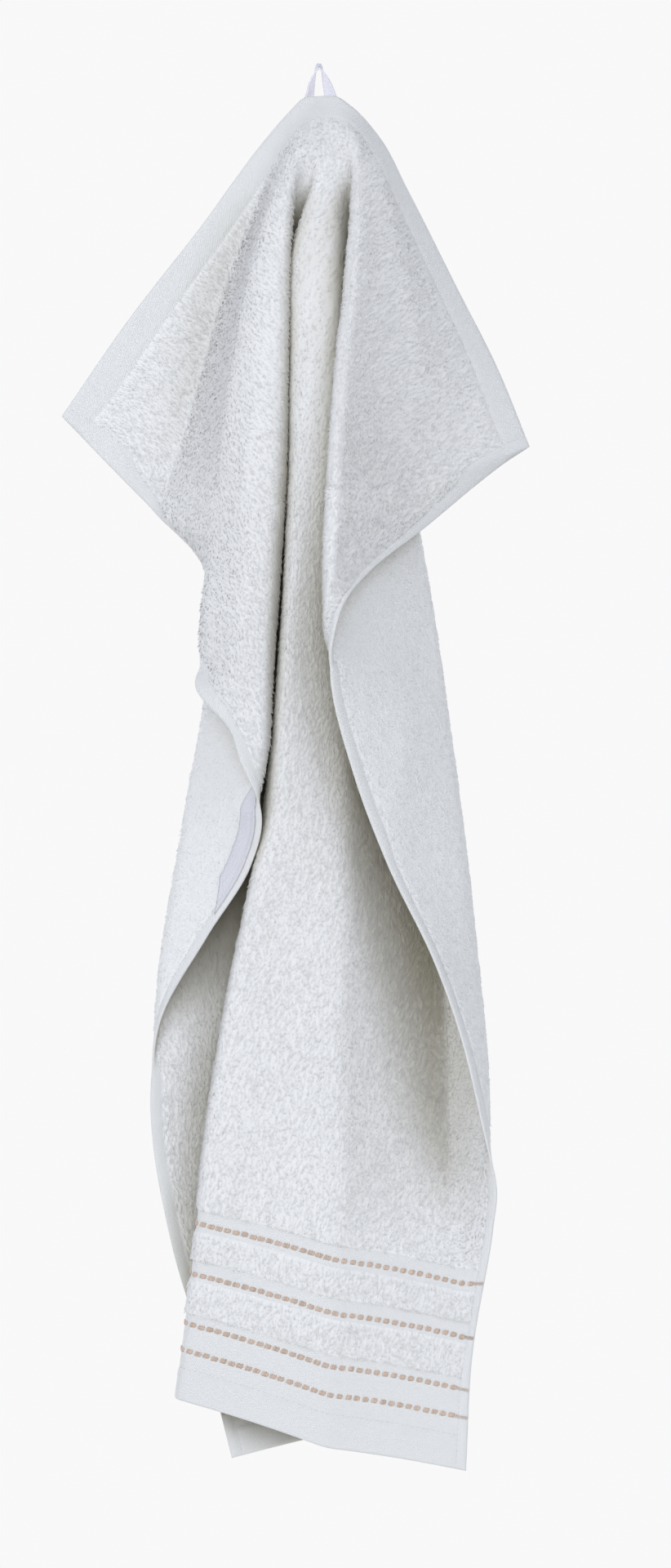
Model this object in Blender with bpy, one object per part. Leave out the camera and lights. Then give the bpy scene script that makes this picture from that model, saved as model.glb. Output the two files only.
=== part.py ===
"""Terry hand towel that hangs in pleats from a tape loop on its header edge.

The cloth is worked out as rays that run from the loop to the rim of the flat towel. A fold is such a ray, and
the tables below say where the folds, the header edge and the two side hems hang. The origin is the inner top of
the loop, where a hook holds it. X runs to the right, Y to the back and Z up. The pile side faces the front.
Sizes in the tables are in millimetres, and the meshes are in metres.
"""
from collections import namedtuple

import bmesh
import bpy
import numpy as np

MM = 0.001

# Flat size of the towel, and the thickness of its cloth, with the pile and where it is gathered under the loop
TOWEL_WIDTH = 500.0
TOWEL_LENGTH = 820.0
CLOTH_THICKNESS = 3.0
GATHERED_THICKNESS = 1.6
GATHERED_REACH = 90.0
HALF_WIDTH = TOWEL_WIDTH / 2

# Middle of the header edge, where the loop is sewn on
HEADER_MIDDLE = (0.8, 0.0, -15.0)

# Roundness of the folds
FOLD_SOFTNESS = 9.0
TOP_SOFTNESS = 14.0
TOP_REACH = 105.0
TIP_ALLOWANCE = 2.5
SOFTEST_TURN = 0.9
SHOULDER_LENGTH = 1.35
FOLD_FADE_AT_RIM = 35.0
FOLD_GROWTH_LENGTH = 110.0
SOFTNESS_STEPS = 21
GATHER_LOSS = 1.8
GATHER_LENGTH = 25.0

# Facets of the cloth: the first cut of every ray, the shares of its further length where it is cut again, and the
# widest step between rays
FIRST_CUT = 12.0
RAY_SHARES = (
    0.000, 0.030, 0.062, 0.100, 0.145, 0.190, 0.235, 0.280, 0.325, 0.370, 0.415, 0.460, 0.505,
    0.550, 0.595, 0.640, 0.685, 0.730, 0.775, 0.820, 0.865, 0.905, 0.942, 0.985, 1.000,
)
WIDEST_STEP = 23.0
CURL_STEP = 11.0
CURL_FROM = 100.0
CURL_TO = 300.0
FOLD_STEPS = (6.0, 13.0)

# Woven label on the reverse, beside the left hem
LABEL_FROM = 367.0
LABEL_TO = 448.0
LABEL_SHARES = (0.942, 0.985)
LABEL_THICKNESS = 0.7
PIECE_GAP = 0.5

# Tape of the loop
TAPE_THICKNESS = 1.0

# The header edge on each side: distance from its middle, then place to the right, to the back and up
LEFT_HEADER = (
    (0, 0.0, 0, 0.0),
    (10, -9.5, -1, -1.0),
    (22, -18.5, -2, -9.5),
    (45, -34.0, -3, -27.5),
    (110, -73.5, -4, -81.0),
    (180, -117.0, -4, -137.0),
    (250, -158.0, -2, -196.0),
)
RIGHT_HEADER = (
    (0, 0.0, 0, 0.0),
    (10, 10.0, -1, 0.0),
    (20, 18.5, -2, -5.5),
    (45, 36.0, -3, -24.5),
    (84, 54.5, -4, -59.0),
    (148, 84.0, -3, -117.5),
    (205, 110.0, 0, -169.0),
    (250, 128.5, 0, -214.5),
)

# The side hems: distance down the hem from the header corner, then place to the right, to the back and up
LEFT_HEM = (
    (0, -158.0, -2, -196.0),
    (50, -130.0, 3, -225.0),
    (112, -100.5, 8, -255.0),
    (163, -69.0, -3, -289.0),
    (200, -64.0, 0, -317.0),
    (240, -70.5, -5, -344.0),
    (274, -75.0, -20, -364.0),
    (303, -55.5, -34, -387.0),
    (332, -48.0, -38, -408.0),
    (362, -36.0, -31, -436.0),
    (404, -42.0, -18, -471.0),
    (454, -68.5, -6, -514.0),
    (523, -99.0, 8, -571.0),
    (558, -103.5, 14, -603.0),
    (604, -102.5, 16, -641.0),
    (669, -90.5, 20, -706.0),
    (747, -69.5, 22, -775.0),
    (820, -54.0, 20, -835.0),
)
RIGHT_HEM = (
    (0, 128.5, 0, -214.5),
    (30, 112.5, -5, -225.0),
    (58, 96.5, -10, -237.5),
    (112, 64.5, -27, -264.5),
    (160, 31.5, -56, -291.0),
    (195, 16.0, -72, -310.0),
    (225, 9.5, -78, -328.5),
    (259, 6.5, -68, -351.5),
    (336, 20.5, -55, -414.5),
    (404, 42.0, -44, -471.5),
    (474, 69.5, -36, -528.5),
    (538, 87.0, -28, -578.5),
    (604, 102.0, -20, -641.0),
    (627, 107.5, -14, -663.0),
    (669, 106.0, -10, -693.0),
    (747, 93.5, -8, -769.5),
    (820, 89.5, -8, -841.0),
)

# A fold is a ray. angle: degrees from straight down, to the left below zero. turn: 1 where the cloth turns to the
# left there, seen from above, -1 to the right, 0 for a soft ridge or valley. gap: half the space inside the fold.
# bottom: height of its end where it ends at the bottom edge. course: rows of distance from the header's middle,
# then place to the right and to the back
Fold = namedtuple("Fold", "name angle turn gap bottom course")
FOLDS = (
    Fold("left valley", -66.0, 0, 0, None, ((40, -23, -6), (90, -43, 0), (138, -60, 4), (204, -78, 8))),
    Fold("left roll", -44.5, 0, 0, None,
         ((40, -17, -12), (100, -37, -22), (180, -53, -27), (290, -66.5, -20), (325, -72.5, -18))),
    Fold("left ridge", -40.0, 0, 0, None,
         ((40, -15, -13), (100, -29, -28), (180, -40, -36), (290, -46.5, -39), (345, -51, -38))),
    Fold("left front", -34.6, 1, 4.5, None,
         ((40, -12.5, -14), (93, -20, -23), (160, -22.5, -30), (235, -24, -32), (290, -27.5, -33),
          (370, -33, -31))),
    Fold("left back", -24.2, -1, 6, None,
         ((40, -8.5, -14.5), (70, -15, -11), (100, -22, -2), (180, -38, 10), (290, -53, 22), (371, -65, 20),
          (440, -77.5, 14), (518, -91, 12))),
    Fold("hidden back", -7.3, -1, 5, -803,
         ((40, -2.5, -15), (70, -3, -9), (100, 0, 4), (180, 6, 18), (290, 17, 24), (440, 42, 30), (575, 58, 34),
          (720, 74, 30), (820, 86, 25))),
    Fold("centre left", 4.5, 1, 5, -797,
         ((40, 1, -15), (70, -7, -18), (93, -12.5, -21), (160, -15, -27), (235, -15, -31), (290, -17, -33),
          (370, -22.5, -28), (440, -30, -20), (575, -55.5, -8), (660, -68, -4), (720, -73.5, -1), (820, -85.5, 4))),
    Fold("centre panel", 11.0, 0, 0, -827,
         ((40, 7, -15), (93, 12, -29), (160, 13, -39), (235, 10, -40), (290, 9, -36), (440, 16, -19),
          (575, 12, -10), (720, 10, -12), (820, 4, -9))),
    Fold("right trough", 18.2, 0, 0, None,
         ((40, 10.5, -14), (70, 16, -8), (100, 19, -4), (180, 26, 3), (290, 45, 6), (440, 67, 18),
          (575, 79, 33), (660, 82, 24), (730, 86, -3))),
    Fold("right back", 22.0, -1, 6, None,
         ((40, 13, -14), (100, 27, -4), (180, 38, 2), (290, 60, -3), (440, 82, -5), (575, 97, -6))),
    Fold("right layer", 32.0, 0, 0, None,
         ((40, 17, -15), (100, 28, -18), (160, 29, -23), (220, 33, -27), (290, 42, -27), (345, 48, -30),
          (400, 50, -35))),
    Fold("right front", 44.0, 1, 4.5, None,
         ((40, 21, -15), (70, 21.5, -23), (100, 21, -32), (135, 18.5, -40), (160, 15.5, -47), (220, 10.5, -59),
          (290, 6.5, -67))),
    Fold("right wing", 64.0, 0, 0, None, ((40, 27, -11), (100, 46, -20), (180, 62, -26))),
)

# The loop's tape: rows of place to the right, to the back and up of its middle, its width, and the turn of that
# width away from the X axis towards the back, in degrees
LOOP_TAPE = (
    (-6.6, -1.2, -25.0, 6.5, 4),
    (-5.9, 1.8, -19.0, 6.5, 16),
    (-5.0, 2.5, -13.0, 6.5, 52),
    (-4.4, 1.6, -8.0, 6.5, 62),
    (-3.2, 0.8, -3.0, 6.5, 76),
    (-2.6, 0.4, 0.2, 6.5, 84),
    (-1.3, 0.1, 2.0, 6.5, 90),
    (0.1, 0.0, 2.6, 6.5, 92),
    (1.6, 0.1, 2.0, 6.5, 96),
    (3.0, 0.4, 0.0, 6.5, 104),
    (4.6, 1.2, -4.0, 6.6, 118),
    (6.0, 2.2, -9.0, 7.0, 138),
    (7.1, 2.8, -13.5, 7.4, 150),
    (7.9, 1.5, -19.0, 8.0, 166),
    (8.4, -2.2, -25.0, 8.0, 176),
)


def smooth_course(rows, at):
    """Read a table of places as one smooth curve. rows: distance, then places. at: array of distances."""
    table = np.array(rows, float)
    marks, places = table[:, 0], table[:, 1:]
    slopes = np.gradient(places, marks, axis=0)
    at = np.clip(at, marks[0], marks[-1])
    low = np.clip(np.searchsorted(marks, at, side="right") - 1, 0, len(marks) - 2)
    span = (marks[low + 1] - marks[low])[:, None]
    share = (at - marks[low])[:, None] / span
    square, cube = share ** 2, share ** 3
    start = (2 * cube - 3 * square + 1) * places[low] + (cube - 2 * square + share) * span * slopes[low]
    end = (3 * square - 2 * cube) * places[low + 1] + (cube - square) * span * slopes[low + 1]
    return start + end


def rim_place(side, reach):
    """Place on the header edge, or on the side hem past its corner, at a distance from the header's middle."""
    header, hem = (LEFT_HEADER, LEFT_HEM) if side < 0 else (RIGHT_HEADER, RIGHT_HEM)
    on_header = smooth_course(header, np.minimum(reach, HALF_WIDTH))
    down = np.sqrt(np.maximum(reach ** 2 - HALF_WIDTH ** 2, 0))
    on_hem = smooth_course(hem, np.minimum(down, TOWEL_LENGTH))
    return np.where((reach <= HALF_WIDTH)[:, None], on_header, on_hem)


def ray_length(angle):
    """Length of a ray from the header's middle to the rim of the flat towel."""
    turn = np.radians(np.abs(angle))
    to_side = HALF_WIDTH / np.maximum(np.sin(turn), 1e-9)
    to_bottom = TOWEL_LENGTH / np.maximum(np.cos(turn), 1e-9)
    return np.minimum(to_side, to_bottom)


def fold_end(fold):
    """Where a fold meets the rim: on a side hem, or on the bottom edge at its own height."""
    length = float(ray_length(fold.angle))
    if fold.bottom is None:
        return length, rim_place(np.sign(fold.angle), np.array([length]))[0]
    right, back = smooth_course(fold.course, np.array([length]))[0]
    return length, np.array([right, back, fold.bottom])


def fold_place(fold, reach):
    """Places along a fold. Its height is what is left of its length once it has gone to the side and back."""
    length, end = fold_end(fold)
    rows = [(0, 0, 0)] + [row for row in fold.course if row[0] < length - 5] + [(length, end[0], end[1])]
    along = np.minimum(reach, length)
    flat = smooth_course(rows, along)
    gathered = GATHER_LOSS * (1 - np.exp(-along / GATHER_LENGTH))
    nearness = (along / length) ** 3
    far = along - gathered * (1 - nearness) - (length - np.linalg.norm(end)) * nearness
    height = -np.sqrt(np.maximum(far ** 2 - (flat ** 2).sum(axis=1), 0)) - np.maximum(reach - length, 0)
    return np.column_stack([flat, height])


def unit(vectors):
    """Vectors of length 1."""
    return vectors / np.maximum(np.linalg.norm(vectors, axis=-1, keepdims=True), 1e-9)


def level(vectors):
    """The level part of the vectors, at length 1."""
    return unit(vectors * np.array([1.0, 1.0, 0.0]))


def section_corners(reach):
    """Corners of the cloth's cross-section at each distance from the loop, with two shoulders to each fold."""
    rim = np.degrees(np.arcsin(np.minimum(HALF_WIDTH / np.maximum(reach, 1e-6), 1)))
    angles = [-rim] + [np.clip(fold.angle, -rim, rim) for fold in FOLDS] + [rim]
    ends = (rim_place(-1, reach), rim_place(1, reach))
    places = [ends[0]]
    for fold in FOLDS:
        past = (np.abs(fold.angle) >= rim)[:, None]
        places.append(np.where(past, ends[int(fold.angle > 0)], fold_place(fold, reach)))
    places.append(ends[1])
    corner_angles, corners = [angles[0]], [places[0]]
    for index, fold in enumerate(FOLDS, start=1):
        if fold.turn == 0:
            corner_angles.append(angles[index])
            corners.append(places[index])
            continue
        room = (rim - np.abs(angles[index])) * np.pi / 180 * reach
        fade = np.clip(room / FOLD_FADE_AT_RIM, 0, 1)
        growth = fade ** 2 * (3 - 2 * fade) * np.clip(reach / FOLD_GROWTH_LENGTH, 0, 1)
        before, after = level(places[index] - places[index - 1]), level(places[index + 1] - places[index])
        tip = unit(before - after)
        across = np.column_stack([-tip[:, 1], tip[:, 0], 0 * reach]) * fold.turn
        gap = fold.gap * growth
        spread = np.degrees(gap * SHOULDER_LENGTH / np.maximum(reach, 1))
        crest = places[index] + tip * (TIP_ALLOWANCE * growth)[:, None]
        for side in (-1, 1):
            corner_angles.append(np.clip(angles[index] + side * spread, -rim, rim))
            corners.append(crest + side * across * gap[:, None])
    corner_angles.append(angles[-1])
    corners.append(places[-1])
    return rim, np.array(corner_angles), np.array(corners)


def section_place(angle, rim, corner_angles, corners):
    """Place on the straight-sided cross-section. Past a rim it runs on as a mirror image turned about the rim."""
    mirrored = np.where(angle < -rim, -2 * rim - angle, np.where(angle > rim, 2 * rim - angle, angle))
    inside = np.clip(mirrored, -rim, rim)
    place = np.zeros((len(angle), 3))
    for start in range(len(corners) - 1):
        low, high = corner_angles[start], corner_angles[start + 1]
        here = (inside >= low) & (inside <= high) & (high > low)
        share = np.where(here, (inside - low) / np.maximum(high - low, 1e-9), 0)[:, None]
        place = np.where(here[:, None], corners[start] + (corners[start + 1] - corners[start]) * share, place)
    place = np.where((angle < -rim)[:, None], 2 * corners[0] - place, place)
    return np.where((angle > rim)[:, None], 2 * corners[-1] - place, place)


def drape(angle, reach):
    """Places of the hung cloth, in millimetres from the header's middle, for points of the flat towel."""
    rim, corner_angles, corners = section_corners(reach)
    softness = FOLD_SOFTNESS + TOP_SOFTNESS * np.exp(-(reach / TOP_REACH) ** 2)
    window = np.degrees(np.minimum(softness / np.maximum(reach, 1e-3), SOFTEST_TURN))
    window = np.minimum(window, rim * SOFTEST_TURN)
    steps = np.linspace(-1, 1, SOFTNESS_STEPS)
    weights = 1 - 0.92 * np.abs(steps)
    weights /= weights.sum()
    place = np.zeros((len(reach), 3))
    for step, weight in zip(steps, weights):
        place += weight * section_place(angle + step * window, rim, corner_angles, corners)
    return place + np.array(HEADER_MIDDLE)


def hem_angle(down):
    """Angle of the ray that meets the left hem at a distance down from its header corner."""
    return -np.degrees(np.arctan2(HALF_WIDTH, down))


def ray_angles():
    """Angles of the rays that cut the cloth into facets, closer together at the folds."""
    corner = -hem_angle(TOWEL_LENGTH)
    fixed = {-90.0, 90.0, -corner, corner}
    fixed.update(hem_angle(down) for down in (CURL_FROM, CURL_TO, LABEL_FROM, LABEL_TO))
    for fold in FOLDS:
        fixed.add(fold.angle)
        if fold.turn:
            length = float(ray_length(fold.angle))
            for step in FOLD_STEPS:
                fixed.update({fold.angle - np.degrees(step / length), fold.angle + np.degrees(step / length)})
    fixed = sorted(fixed)
    angles = [fixed[0]]
    for low, high in zip(fixed, fixed[1:]):
        width = np.radians(high - low) * float(ray_length((low + high) / 2))
        if width < 1.0:
            continue
        curled = hem_angle(CURL_FROM) < (low + high) / 2 < hem_angle(CURL_TO)
        count = max(1, int(np.ceil(width / (CURL_STEP if curled else WIDEST_STEP))))
        angles.extend(low + (high - low) * step / count for step in range(1, count + 1))
    return np.array(angles)


def cloth_grid(angles, shares):
    """Middle surface of the cloth as a grid of rays by cuts, with what leads from it to the face of its reverse."""
    shape = (len(angles), len(shares))
    lengths = ray_length(angles)
    all_angles = np.repeat(angles, shape[1])
    all_reach = (FIRST_CUT + (lengths[:, None] - FIRST_CUT) * np.array(shares)[None, :]).ravel()
    places = drape(all_angles, all_reach).reshape(*shape, 3)
    outward = unit(np.cross(np.gradient(places, axis=0), np.gradient(places, axis=1)))
    thinner = (CLOTH_THICKNESS - GATHERED_THICKNESS) * np.exp(-(all_reach / GATHERED_REACH) ** 2)
    return places, outward * (CLOTH_THICKNESS - thinner).reshape(*shape, 1) / 2


def new_object(name, mesh_data, color, roughness):
    """Object with its own mesh and its own material."""
    mesh = bpy.data.meshes.new(name)
    bmesh.ops.recalc_face_normals(mesh_data, faces=mesh_data.faces[:])
    mesh_data.to_mesh(mesh)
    mesh_data.free()
    mesh.shade_smooth()
    material = bpy.data.materials.new(name)
    material.use_nodes = True
    shader = material.node_tree.nodes["Principled BSDF"]
    shader.inputs["Base Color"].default_value = (*color, 1.0)
    shader.inputs["Roughness"].default_value = roughness
    shader.inputs["Metallic"].default_value = 0.0
    mesh.materials.append(material)
    part = bpy.data.objects.new(name, mesh)
    bpy.context.collection.objects.link(part)
    return part


def slab(front, back, pole=None):
    """Closed body between two grids of points. pole: front and back point that close the first cut of a fan."""
    body = bmesh.new()
    sides = [[[body.verts.new(point * MM) for point in row] for row in grid] for grid in (front, back)]
    rays, cuts = len(front), len(front[0])
    for grid in sides:
        for ray in range(rays - 1):
            for cut in range(cuts - 1):
                near, far = grid[ray][cut:cut + 2], grid[ray + 1][cut:cut + 2]
                body.faces.new((near[0], far[0], far[1]))
                body.faces.new((near[0], far[1], near[1]))
    rims = [[grid[ray][-1] for ray in range(rays)] for grid in sides]
    starts = [list(grid[0]) for grid in sides]
    finishes = [list(grid[-1]) for grid in sides]
    edges = [rims, starts, finishes]
    if pole is None:
        edges.append([[grid[ray][0] for ray in range(rays)] for grid in sides])
    else:
        tops = [body.verts.new(point * MM) for point in pole]
        for top, grid in zip(tops, sides):
            for ray in range(rays - 1):
                body.faces.new((top, grid[ray][0], grid[ray + 1][0]))
        edges.extend([[[tops[0], grid_ends[0][0]], [tops[1], grid_ends[1][0]]] for grid_ends in (starts, finishes)])
    for front_edge, back_edge in edges:
        for step in range(len(front_edge) - 1):
            body.faces.new((front_edge[step], front_edge[step + 1], back_edge[step + 1], back_edge[step]))
    return body


def build_towel():
    """The towel: one piece of cloth with its hems, from the header edge to the bottom edge."""
    places, to_reverse = cloth_grid(ray_angles(), RAY_SHARES)
    top = np.array(HEADER_MIDDLE)
    half = np.array([0.0, GATHERED_THICKNESS / 2, 0.0])
    body = slab(places - to_reverse, places + to_reverse, (top - half, top + half))
    return new_object("towel", body, (0.80, 0.82, 0.85), 0.95)


def build_label():
    """The woven label: a strip that follows the facets of the cloth on its reverse, beside the left hem."""
    angles = ray_angles()
    places, to_reverse = cloth_grid(angles, RAY_SHARES)
    margin = 1e-6
    rays = (angles >= hem_angle(LABEL_FROM) - margin) & (angles <= hem_angle(LABEL_TO) + margin)
    cuts = np.array([LABEL_SHARES[0] <= share <= LABEL_SHARES[1] for share in RAY_SHARES])
    patch, direction = places[rays][:, cuts] + to_reverse[rays][:, cuts], unit(to_reverse[rays][:, cuts])
    body = slab(patch + direction * PIECE_GAP, patch + direction * (PIECE_GAP + LABEL_THICKNESS))
    return new_object("woven_label", body, (0.84, 0.85, 0.90), 0.7)


def build_loop():
    """The hanging loop: one length of tape that rises from behind the header, turns over and comes back."""
    rows = np.array(LOOP_TAPE, float)
    middles, widths, turns = rows[:, :3], rows[:, 3], np.radians(rows[:, 4])
    along = unit(np.gradient(middles, axis=0))
    across = np.column_stack([np.cos(turns), np.sin(turns), 0 * turns])
    across = unit(across - along * (across * along).sum(axis=1)[:, None])
    thick = np.cross(along, across) * TAPE_THICKNESS / 2
    edges = [middles - across * widths[:, None] / 2, middles, middles + across * widths[:, None] / 2]
    front = np.array([edge - thick for edge in edges])
    back = np.array([edge + thick for edge in edges])
    return new_object("hanging_loop", slab(front, back), (0.80, 0.80, 0.88), 0.6)


def main():
    """Clear the scene and build the towel's three pieces."""
    for old in list(bpy.data.objects):
        bpy.data.objects.remove(old, do_unlink=True)
    build_towel()
    build_label()
    build_loop()


main()
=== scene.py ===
"""Looks of a terry hand towel that hangs in pleats from its tape loop.

The cloth is worked out as rays that run from the loop to the rim of the flat towel, the way the solids are,
so each point of the flat towel has its place on the hung one. Flat places are in millimetres: across from
the towel's middle, and down from its header edge. Meshes are in metres.
"""

import logging
from dataclasses import dataclass, field
from enum import Enum
from typing import NamedTuple

import bmesh
import bpy
import numpy as np
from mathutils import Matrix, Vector
from mathutils.bvhtree import BVHTree


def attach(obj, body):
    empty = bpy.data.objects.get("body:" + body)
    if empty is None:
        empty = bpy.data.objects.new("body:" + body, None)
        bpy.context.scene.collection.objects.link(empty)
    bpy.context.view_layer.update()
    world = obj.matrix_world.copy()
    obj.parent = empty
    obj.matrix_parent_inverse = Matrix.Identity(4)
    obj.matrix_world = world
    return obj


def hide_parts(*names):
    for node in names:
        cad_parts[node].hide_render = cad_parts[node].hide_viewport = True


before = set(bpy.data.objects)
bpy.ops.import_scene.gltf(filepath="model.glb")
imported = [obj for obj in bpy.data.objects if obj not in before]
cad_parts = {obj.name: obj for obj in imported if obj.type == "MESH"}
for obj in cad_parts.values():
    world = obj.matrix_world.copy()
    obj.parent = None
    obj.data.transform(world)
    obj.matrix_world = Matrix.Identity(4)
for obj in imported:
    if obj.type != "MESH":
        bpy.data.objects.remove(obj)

Rows = tuple[tuple[float, ...], ...]
Color = tuple[float, float, float]

MM = 0.001
SEED = 7
NAP_ROUNDNESS = 0.2
TUFT_FACES = 4
# Painted crease shade: where folds shut the cloth in, its colour is multiplied by this warm dark tint,
# standing in for shade and for light bounced between folds.
CREASE_SHADE_LAYER = "crease_shade"
CREASE_SHADE_RANGE = (0.14, 0.75)
PAINTED_CREASE_SHADE_TINT: Color = (0.64, 0.605, 0.49)
DAYLIGHT: Color = (0.83, 0.875, 1.0)
LOG = logging.getLogger("towel")


class Fold(NamedTuple):
    """One fold: its ray's angle, the way the cloth turns there, half its inner gap, and where it hangs."""

    name: str
    angle: float
    turn: int
    gap: float
    bottom: float | None
    course: Rows


class Side(Enum):
    """The two faces of the cloth. The value is the way along its normal."""

    FRONT = -1
    REVERSE = 1


class Zone(Enum):
    """How the cloth is woven in one place."""

    PILE = 0
    PLAIN = 1
    HEM = 2


LEFT_HEADER: Rows = (
    (0, 0.0, 0, 0.0),
    (10, -9.5, -1, -1.0),
    (22, -18.5, -2, -9.5),
    (45, -34.0, -3, -27.5),
    (110, -73.5, -4, -81.0),
    (180, -117.0, -4, -137.0),
    (250, -158.0, -2, -196.0),
)
RIGHT_HEADER: Rows = (
    (0, 0.0, 0, 0.0),
    (10, 10.0, -1, 0.0),
    (20, 18.5, -2, -5.5),
    (45, 36.0, -3, -24.5),
    (84, 54.5, -4, -59.0),
    (148, 84.0, -3, -117.5),
    (205, 110.0, 0, -169.0),
    (250, 128.5, 0, -214.5),
)
LEFT_HEM: Rows = (
    (0, -158.0, -2, -196.0),
    (50, -130.0, 3, -225.0),
    (112, -100.5, 8, -255.0),
    (163, -69.0, -3, -289.0),
    (200, -64.0, 0, -317.0),
    (240, -70.5, -5, -344.0),
    (274, -75.0, -20, -364.0),
    (303, -55.5, -34, -387.0),
    (332, -48.0, -38, -408.0),
    (362, -36.0, -31, -436.0),
    (404, -42.0, -18, -471.0),
    (454, -68.5, -6, -514.0),
    (523, -99.0, 8, -571.0),
    (558, -103.5, 14, -603.0),
    (604, -102.5, 16, -641.0),
    (669, -90.5, 20, -706.0),
    (747, -69.5, 22, -775.0),
    (820, -54.0, 20, -835.0),
)
RIGHT_HEM: Rows = (
    (0, 128.5, 0, -214.5),
    (30, 112.5, -5, -225.0),
    (58, 96.5, -10, -237.5),
    (112, 64.5, -27, -264.5),
    (160, 31.5, -56, -291.0),
    (195, 16.0, -72, -310.0),
    (225, 9.5, -78, -328.5),
    (259, 6.5, -68, -351.5),
    (336, 20.5, -55, -414.5),
    (404, 42.0, -44, -471.5),
    (474, 69.5, -36, -528.5),
    (538, 87.0, -28, -578.5),
    (604, 102.0, -20, -641.0),
    (627, 107.5, -14, -663.0),
    (669, 106.0, -10, -693.0),
    (747, 93.5, -8, -769.5),
    (820, 89.5, -8, -841.0),
)
FOLDS = (
    Fold("left valley", -66.0, 0, 0, None, ((40, -23, -6), (90, -43, 0), (138, -60, 4), (204, -78, 8))),
    Fold("left roll", -44.5, 0, 0, None,
         ((40, -17, -12), (100, -37, -22), (180, -53, -27), (290, -66.5, -20), (325, -72.5, -18))),
    Fold("left ridge", -40.0, 0, 0, None,
         ((40, -15, -13), (100, -29, -28), (180, -40, -36), (290, -46.5, -39), (345, -51, -38))),
    Fold("left front", -34.6, 1, 4.5, None,
         ((40, -12.5, -14), (93, -20, -23), (160, -22.5, -30), (235, -24, -32), (290, -27.5, -33),
          (370, -33, -31))),
    Fold("left back", -24.2, -1, 6, None,
         ((40, -8.5, -14.5), (70, -15, -14), (86, -18, -11), (104, -23, -2), (180, -38, 10), (290, -53, 22),
          (371, -65, 20), (440, -77.5, 14), (518, -91, 12))),
    Fold("hidden back", -7.3, -1, 5, -803,
         ((40, -2.5, -15), (70, -4, -13), (86, -3, -8), (104, 0, 4), (180, 6, 18), (290, 17, 24),
          (440, 42, 30), (575, 58, 34), (720, 74, 30), (820, 86, 25))),
    Fold("centre left", 4.5, 1, 5, -797,
         ((40, 1, -15), (70, -7, -18), (93, -12.5, -21), (160, -15, -27), (235, -15, -31), (290, -17, -33),
          (370, -22.5, -28), (440, -30, -20), (575, -55.5, -8), (660, -68, -4), (720, -73.5, -1),
          (820, -85.5, 4))),
    Fold("centre panel", 11.0, 0, 0, -827,
         ((40, 7, -15), (93, 12, -29), (160, 13, -39), (235, 10, -40), (290, 9, -36), (440, 16, -19),
          (575, 12, -10), (720, 10, -12), (820, 4, -9))),
    Fold("right trough", 18.2, 0, 0, None,
         ((40, 10.5, -14), (70, 16, -8), (100, 19, -4), (180, 26, 3), (290, 45, 6), (440, 67, 18),
          (575, 79, 33), (660, 82, 24), (730, 86, -3))),
    Fold("right back", 22.0, -1, 6, None,
         ((40, 13, -14), (100, 27, -4), (180, 38, 2), (290, 60, -3), (440, 82, -5), (575, 97, -6))),
    Fold("right layer", 32.0, 0, 0, None,
         ((40, 17, -15), (100, 28, -18), (160, 29, -23), (220, 33, -27), (290, 42, -27), (345, 48, -30),
          (400, 50, -35))),
    Fold("right front", 44.0, 1, 4.5, None,
         ((40, 21, -15), (70, 21.5, -23), (100, 21, -32), (135, 18.5, -40), (160, 15.5, -47),
          (220, 10.5, -59), (290, 6.5, -67))),
    Fold("right wing", 64.0, 0, 0, None, ((40, 27, -11), (100, 46, -20), (180, 62, -26))),
)


def unit(vectors: np.ndarray) -> np.ndarray:
    """Vectors of length 1."""
    return vectors / np.maximum(np.linalg.norm(vectors, axis=-1, keepdims=True), 1e-9)


def level(vectors: np.ndarray) -> np.ndarray:
    """The level part of the vectors, at length 1."""
    return unit(vectors * np.array([1.0, 1.0, 0.0]))


def smooth_step(low: float, high: float, values: np.ndarray) -> np.ndarray:
    """0 below low and 1 above high, with a soft change between them."""
    share = np.clip((values - low) / (high - low), 0, 1)
    return share * share * (3 - 2 * share)


def smooth_course(rows: Rows | list, at: np.ndarray) -> np.ndarray:
    """Read a table of places as one smooth curve.

    Args:
        rows: a distance and then a place in each row.
        at: the distances to read the curve at.

    Returns:
        One place for each distance.
    """
    table = np.array(rows, float)
    marks, places = table[:, 0], table[:, 1:]
    slopes = np.gradient(places, marks, axis=0)
    at = np.clip(at, marks[0], marks[-1])
    low = np.clip(np.searchsorted(marks, at, side="right") - 1, 0, len(marks) - 2)
    span = (marks[low + 1] - marks[low])[:, None]
    share = (at - marks[low])[:, None] / span
    square, cube = share ** 2, share ** 3
    start = (2 * cube - 3 * square + 1) * places[low] + (cube - 2 * square + share) * span * slopes[low]
    end = (3 * square - 2 * cube) * places[low + 1] + (cube - square) * span * slopes[low + 1]
    return start + end


def soft_noise(across: np.ndarray, down: np.ndarray, size: float, seed: int) -> np.ndarray:
    """Smooth unevenness from -1 to 1 over the flat cloth.

    Args:
        across: flat places across the towel.
        down: flat places down the towel.
        size: width of one lump in millimetres.
        seed: which pattern of lumps.

    Returns:
        One value for each place.
    """
    columns, rows = across / size + 400.0, down / size + 400.0
    column, row = np.floor(columns).astype(int), np.floor(rows).astype(int)
    share_across, share_down = columns - column, rows - row
    share_across = share_across ** 2 * (3 - 2 * share_across)
    share_down = share_down ** 2 * (3 - 2 * share_down)

    def line(lower: int) -> np.ndarray:
        """Read one line of knots, each of which has its own fixed random value.

        Args:
            lower: 0 for the line above each place and 1 for the line below it.

        Returns:
            The values of the knots to the left and right, mixed across.
        """
        knots = (column + right for right in (0, 1))
        mixed = (np.sin(knot * 127.1 + (row + lower) * 311.7 + seed * 74.7) * 43758.5453 for knot in knots)
        left, right = (2 * (value - np.floor(value)) - 1 for value in mixed)
        return left * (1 - share_across) + right * share_across

    return line(0) * (1 - share_down) + line(1) * share_down


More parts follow.
